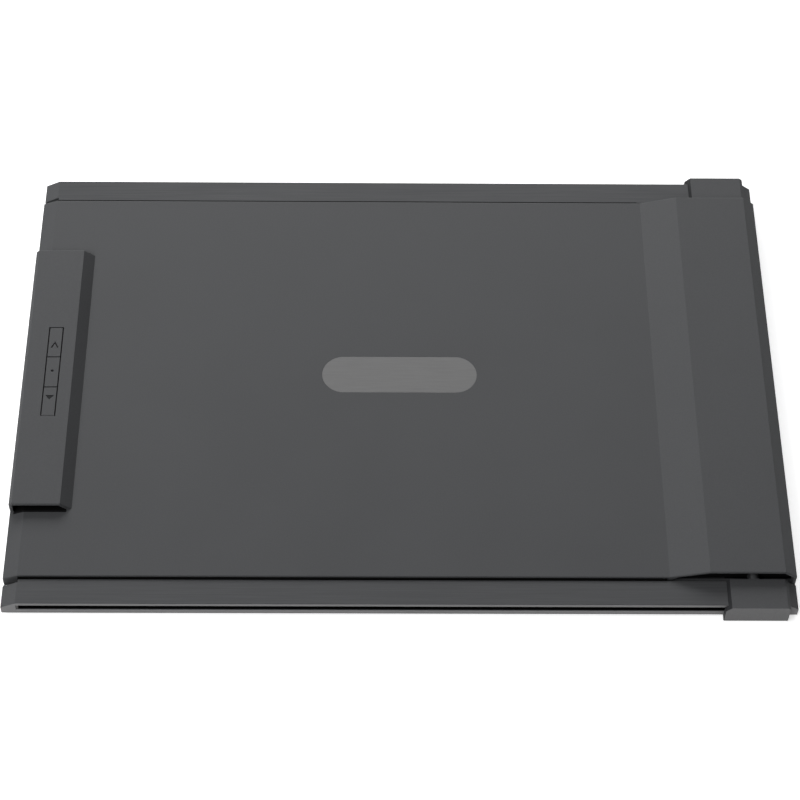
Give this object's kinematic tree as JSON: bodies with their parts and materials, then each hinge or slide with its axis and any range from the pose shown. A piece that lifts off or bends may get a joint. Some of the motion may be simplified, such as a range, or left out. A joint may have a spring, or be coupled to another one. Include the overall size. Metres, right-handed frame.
{
  "type": "slide-out portable monitor",
  "caption": "Slim laptop-lid monitor: a screen that slides out along two slotted rails and folds over on a hinge rod held by C-shaped carriage blocks.",
  "frame": {"origin": "centre of the underside, at the level of the mounting pads that meet the laptop lid", "axes": "+X along the rails towards the hinge end where the carriage is stowed, +Y across the rails towards the rear rail, +Z out of the back cover, away from the laptop lid"},
  "size_m": [0.31, 0.2174, 0.0139],
  "materials": {
    "housing": "fine matte texture",
    "bezel": "satin black",
    "rubber": "matte",
    "inlay": "smooth matte",
    "display_glass": "dark, anti-glare",
    "white_film": "matte",
    "clear_guide": "polished",
    "sheet_steel": "zinc plated",
    "led_board": "matte",
    "circuit_board": "solder mask",
    "chip_plastic": "matte",
    "steel": "ground",
    "socket_steel": "plated",
    "cap": "matte black",
    "cable_film": "polyimide film",
    "rail_metal": "anodised, fine bead-blast",
    "plate_metal": "black anodised",
    "nickel": "nickel plated",
    "block_plastic": "fine matte texture",
    "glide_plastic": "waxy",
    "key_plastic": "fine matte texture"
  },
  "bodies": {
    "base": {"rail_front": "rail_metal", "rail_rear": "rail_metal", "base_plate": "plate_metal", "plate_screws": "steel", "magnets": "nickel", "mount_pads": "rubber", "slide_bumpers": "rubber"},
    "carriage": {"carriage_block_front": "block_plastic", "carriage_block_rear": "block_plastic", "slot_glide_front": "glide_plastic", "slot_glide_rear": "glide_plastic", "hinge_rod": "steel"},
    "screen": {"back_cover": "housing", "front_bezel": "bezel", "bezel_bumpers": "rubber", "badge_inlay": "inlay", "display_cell": "display_glass", "optical_films": "white_film", "light_guide": "clear_guide", "reflector_film": "white_film", "backlight_tray": "sheet_steel", "led_strip": "led_board", "foam_strips": "rubber", "main_board": "circuit_board", "board_chips": "chip_plastic", "board_screws": "steel", "friction_clip_front": "steel", "friction_clip_rear": "steel", "clip_screws": "steel", "spine_end_cap_front": "cap", "spine_end_cap_rear": "cap", "control_bar": "housing", "bar_end_cap_front": "cap", "bar_end_cap_rear": "cap", "control_board": "circuit_board", "button_switches": "chip_plastic", "usb_c_socket": "socket_steel", "control_cable": "cable_film"},
    "button_up": {"button_up": "key_plastic"},
    "button_menu": {"button_menu": "key_plastic"},
    "button_down": {"button_down": "key_plastic"}
  },
  "joints": [
    {"name": "screen_slide", "type": "slide", "parent": "base", "child": "carriage", "axis": [-1, 0, 0], "range_m": [0, 0.277]},
    {"name": "screen_hinge", "type": "hinge", "parent": "carriage", "child": "screen", "pos_m": [0.138, 0, 0.008], "axis": [0, 1, 0], "range_deg": [0, 180]},
    {"name": "button_up_press", "type": "slide", "parent": "screen", "child": "button_up", "axis": [0, 0, -1], "range_m": [0, 0.0004], "stiffness_N_per_m": 3000},
    {"name": "button_menu_press", "type": "slide", "parent": "screen", "child": "button_menu", "axis": [0, 0, -1], "range_m": [0, 0.0004], "stiffness_N_per_m": 3000},
    {"name": "button_down_press", "type": "slide", "parent": "screen", "child": "button_down", "axis": [0, 0, -1], "range_m": [0, 0.0004], "stiffness_N_per_m": 3000}
  ]
}
